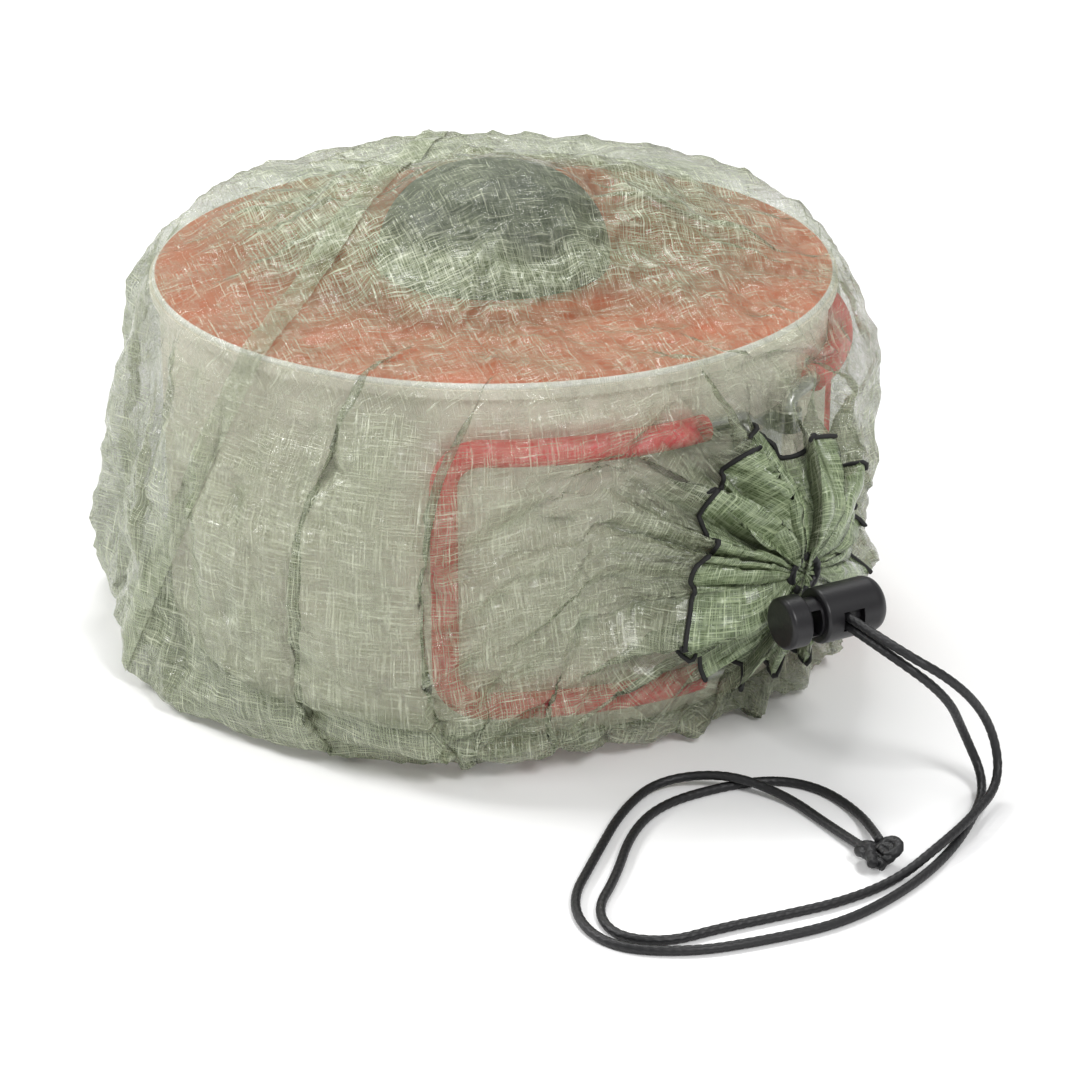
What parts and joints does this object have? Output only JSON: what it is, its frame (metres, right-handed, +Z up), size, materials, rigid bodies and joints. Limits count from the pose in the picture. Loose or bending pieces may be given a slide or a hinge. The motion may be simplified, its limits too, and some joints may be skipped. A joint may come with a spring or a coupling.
{
  "type": "drawstring stuff sack",
  "caption": "Translucent laminate drawstring stuff sack packed round a pot, cinched with a barrel cord lock on black cords.",
  "frame": {"origin": "on the resting plane under the axis of the pot inside the sack", "axes": "+Z up, +X towards the cinched mouth, from the closed end"},
  "size_m": [0.2495, 0.1864, 0.113],
  "materials": {
    "laminate": "thin fibre-reinforced translucent laminate, crinkled, glossy",
    "laminate_double": "two or more layers of the same laminate, gathered, glossy",
    "thread": "thick twisted black sewing thread, matt",
    "cord": "waxed braided cord, semi-matt",
    "lock_plastic": "moulded, fine matt texture",
    "spring_steel": "drawn wire",
    "pot_metal": "spun, satin",
    "lid_orange": "smooth, satin",
    "knob_dark": "smooth, matt",
    "handle_metal": "bent wire and pressed sheet, satin",
    "sleeve_red": "soft sleeve, matt"
  },
  "bodies": {
    "sack": {"sack_body": "laminate", "sack_end_panel": "laminate", "end_seam_strip": "laminate_double", "drawcord_channel": "laminate_double", "channel_stitching": "thread", "channel_cord": "cord", "drawcord_strand_a": "cord", "drawcord_strand_b": "cord", "drawcord_knot": "cord", "pot_body": "pot_metal", "pot_lid": "lid_orange", "lid_knob": "knob_dark", "handle_bracket": "handle_metal", "handle_wire_left": "handle_metal", "handle_wire_right": "handle_metal", "handle_sleeve_left": "sleeve_red", "handle_sleeve_right": "sleeve_red"},
    "lock": {"lock_barrel": "lock_plastic", "lock_spring": "spring_steel"},
    "button": {"lock_plunger": "lock_plastic"}
  },
  "joints": [
    {"name": "lock_slide", "type": "slide", "parent": "sack", "child": "lock", "axis": [0.9613, -0.2756, 0], "range_m": [0, 0.008]},
    {"name": "button_press", "type": "slide", "parent": "lock", "child": "button", "axis": [0.2756, 0.9613, 0], "range_m": [0, 0.0032], "stiffness_N_per_m": 900, "springref_m": -0.004, "deforming": ["lock_spring"]}
  ]
}
